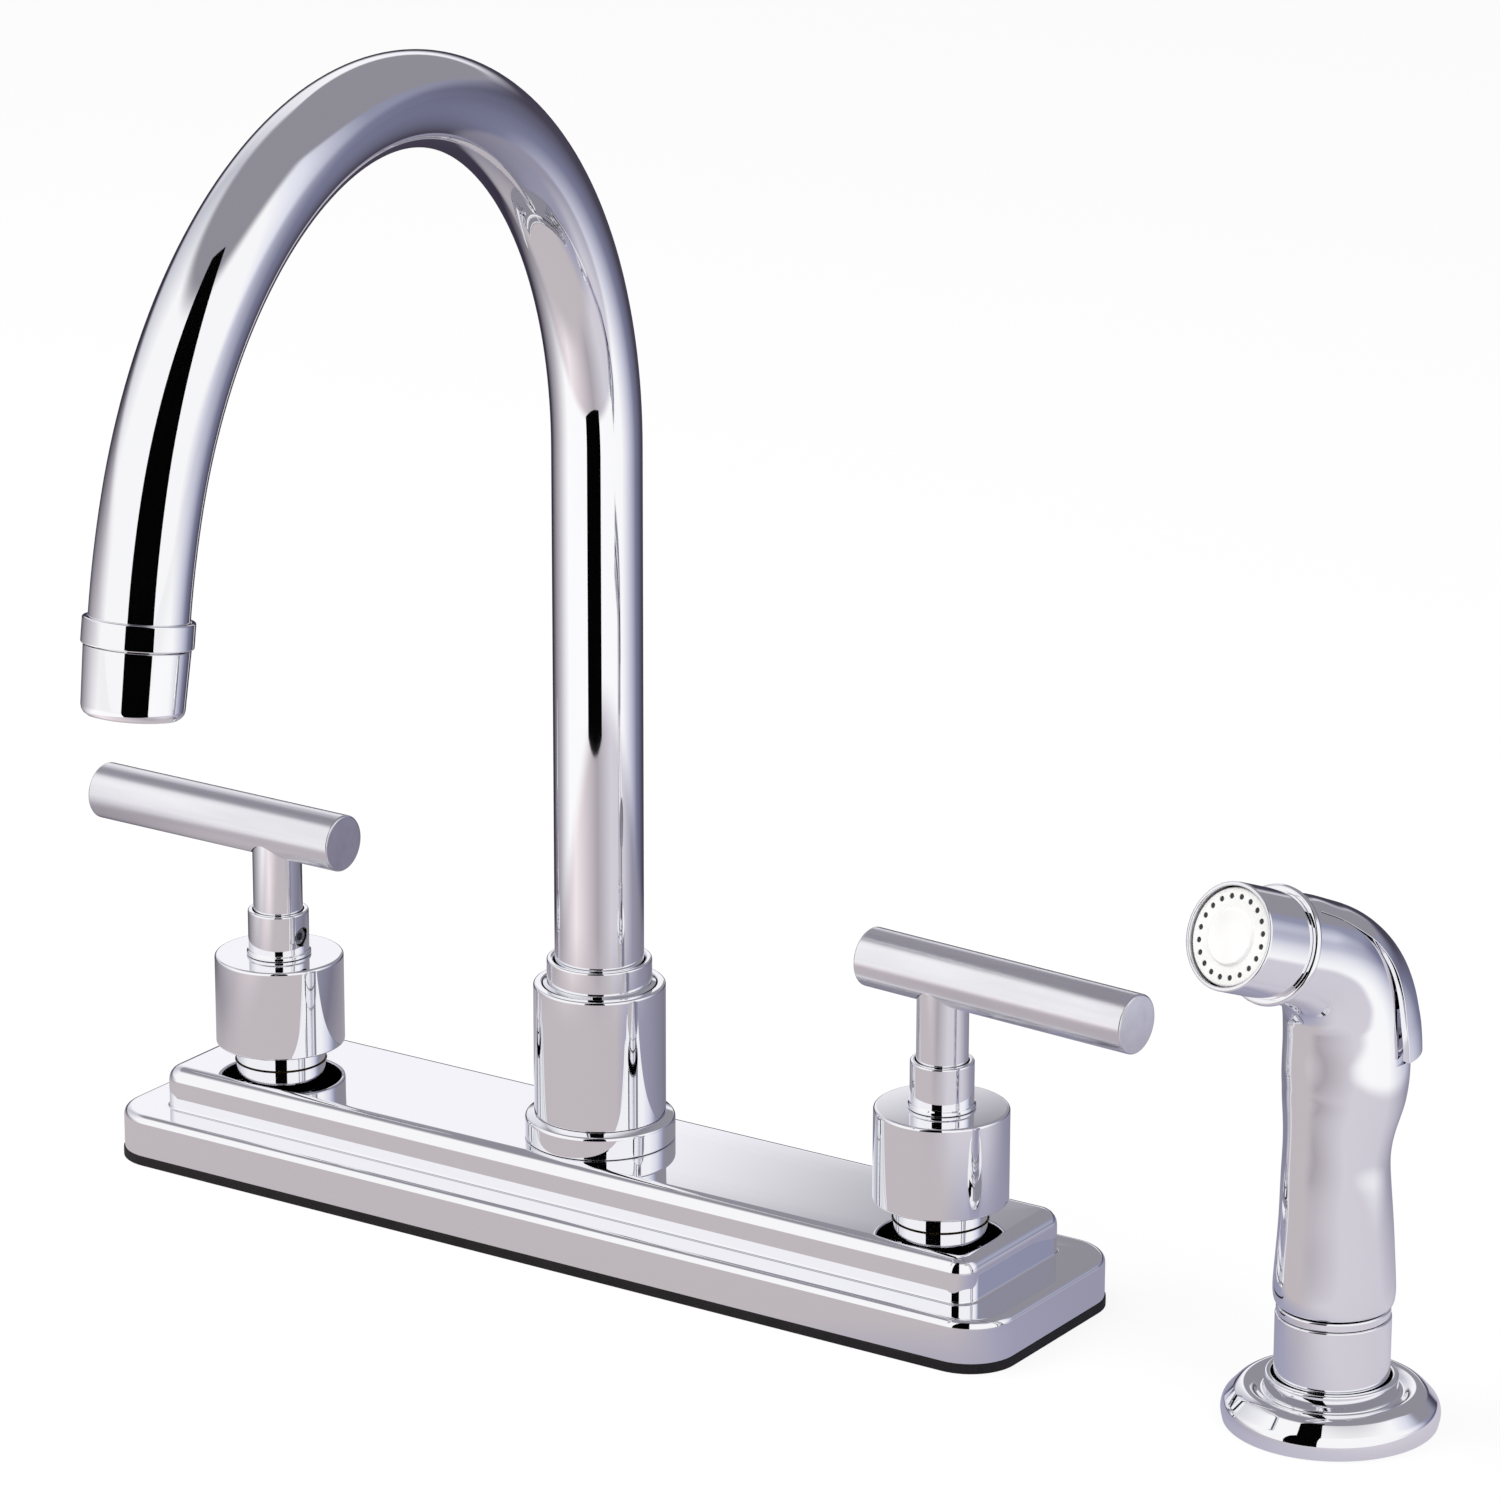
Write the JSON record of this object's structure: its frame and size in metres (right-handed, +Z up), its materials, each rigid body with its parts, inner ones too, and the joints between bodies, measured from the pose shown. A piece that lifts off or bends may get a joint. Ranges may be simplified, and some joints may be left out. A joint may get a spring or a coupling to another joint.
{
  "type": "side spray kitchen faucet",
  "caption": "Kitchen faucet with two turning lever handles, a swivelling gooseneck spout on a stepped deck plate, and a separate hand spray with a thumb lever in its own holder.",
  "frame": {"origin": "on the sink deck, under the axis of the spout, at the underside of the deck gasket", "axes": "+X along the deck plate from the hot side to the cold side and on to the spray, +Z up, the user and the bowl at -Y"},
  "size_m": [0.3993, 0.2548, 0.3744],
  "materials": {
    "polished_chrome": "polished",
    "satin_nickel_bar": "satin",
    "brass": "machined",
    "steel": "plain",
    "black_rubber": "matt",
    "white_plastic": "moulded",
    "dark_plastic": "moulded",
    "ceramic": "lapped"
  },
  "bodies": {
    "base": {"deck_gasket": "black_rubber", "deck_plate": "polished_chrome", "waterway_casting": "brass", "spray_outlet_nipple": "brass", "hot_inlet_shank": "brass", "hot_mounting_washer": "steel", "hot_mounting_nut": "white_plastic", "hot_cartridge_sleeve": "brass", "hot_fixed_disc": "ceramic", "hot_bonnet_nut": "polished_chrome", "cold_inlet_shank": "brass", "cold_mounting_washer": "steel", "cold_mounting_nut": "white_plastic", "cold_cartridge_sleeve": "brass", "cold_fixed_disc": "ceramic", "cold_bonnet_nut": "polished_chrome", "spout_base_ring": "polished_chrome", "spout_body": "polished_chrome", "spout_nut": "polished_chrome", "diverter_body": "white_plastic", "spray_holder": "polished_chrome", "spray_holder_gasket": "black_rubber", "spray_holder_nut": "white_plastic"},
    "hot_handle": {"hot_turning_disc": "ceramic", "hot_spindle": "brass", "hot_handle_hub": "polished_chrome", "hot_handle_collar": "polished_chrome", "hot_set_screw": "steel", "hot_handle_post": "polished_chrome", "hot_handle_bar": "satin_nickel_bar"},
    "cold_handle": {"cold_turning_disc": "ceramic", "cold_spindle": "brass", "cold_handle_hub": "polished_chrome", "cold_handle_collar": "polished_chrome", "cold_set_screw": "steel", "cold_handle_post": "polished_chrome", "cold_handle_bar": "satin_nickel_bar"},
    "spout": {"spout_tube": "polished_chrome", "spout_swivel": "brass", "spout_lower_o_ring": "black_rubber", "spout_upper_o_ring": "black_rubber", "spout_bearing_ring": "white_plastic", "spout_tip_ring": "polished_chrome", "aerator_housing": "polished_chrome", "aerator_washer": "black_rubber", "aerator_insert": "white_plastic"},
    "diverter": {"diverter_piston": "dark_plastic"},
    "hand_spray": {"spray_base_collar": "polished_chrome", "spray_trim_ring": "polished_chrome", "spray_inlet": "brass", "spray_body": "polished_chrome", "spray_lever_pin": "steel", "spray_valve_seat": "black_rubber", "spray_valve_spring": "steel", "spray_seam_ring": "polished_chrome", "spray_nozzle_collar": "polished_chrome", "spray_face": "white_plastic"},
    "lever": {"spray_lever": "polished_chrome"},
    "spray_valve": {"spray_valve_stem": "dark_plastic"}
  },
  "joints": [
    {"name": "hot_handle_turn", "type": "hinge", "parent": "base", "child": "hot_handle", "pos_m": [-0.1016, 0, 0.05], "axis": [0, 0, 1], "range_deg": [0, 90]},
    {"name": "cold_handle_turn", "type": "hinge", "parent": "base", "child": "cold_handle", "pos_m": [0.1016, 0, 0.05], "axis": [0, 0, 1], "range_deg": [-85.5, 4.5]},
    {"name": "spout_swing", "type": "hinge", "parent": "base", "child": "spout", "pos_m": [0, 0, 0.1], "axis": [0, 0, 1], "continuous": true},
    {"name": "diverter_rise", "type": "slide", "parent": "base", "child": "diverter", "axis": [0, 0, 1], "range_m": [0, 0.0022]},
    {"name": "spray_lift", "type": "slide", "parent": "base", "child": "hand_spray", "axis": [0, 0, 1], "range_m": [0, 0.04]},
    {"name": "spray_lever_press", "type": "hinge", "parent": "hand_spray", "child": "lever", "pos_m": [0.21264, -0.01267, 0.12715], "axis": [-0.9703, 0.2419, 0], "range_deg": [0, 4], "stiffness_Nm_per_rad": 1.5, "springref_deg": -5.73},
    {"name": "spray_valve_push", "type": "slide", "parent": "hand_spray", "child": "spray_valve", "axis": [0, 0, -1], "range_m": [0, 0.0008], "deforming": ["spray_valve_spring"]}
  ],
  "couplings": [
    {"joint": "spray_valve_push", "follows": "spray_lever_press", "m_per_rad": 0.0109},
    {"joint": "diverter_rise", "follows": "spray_lever_press", "m_per_rad": 0.03}
  ]
}
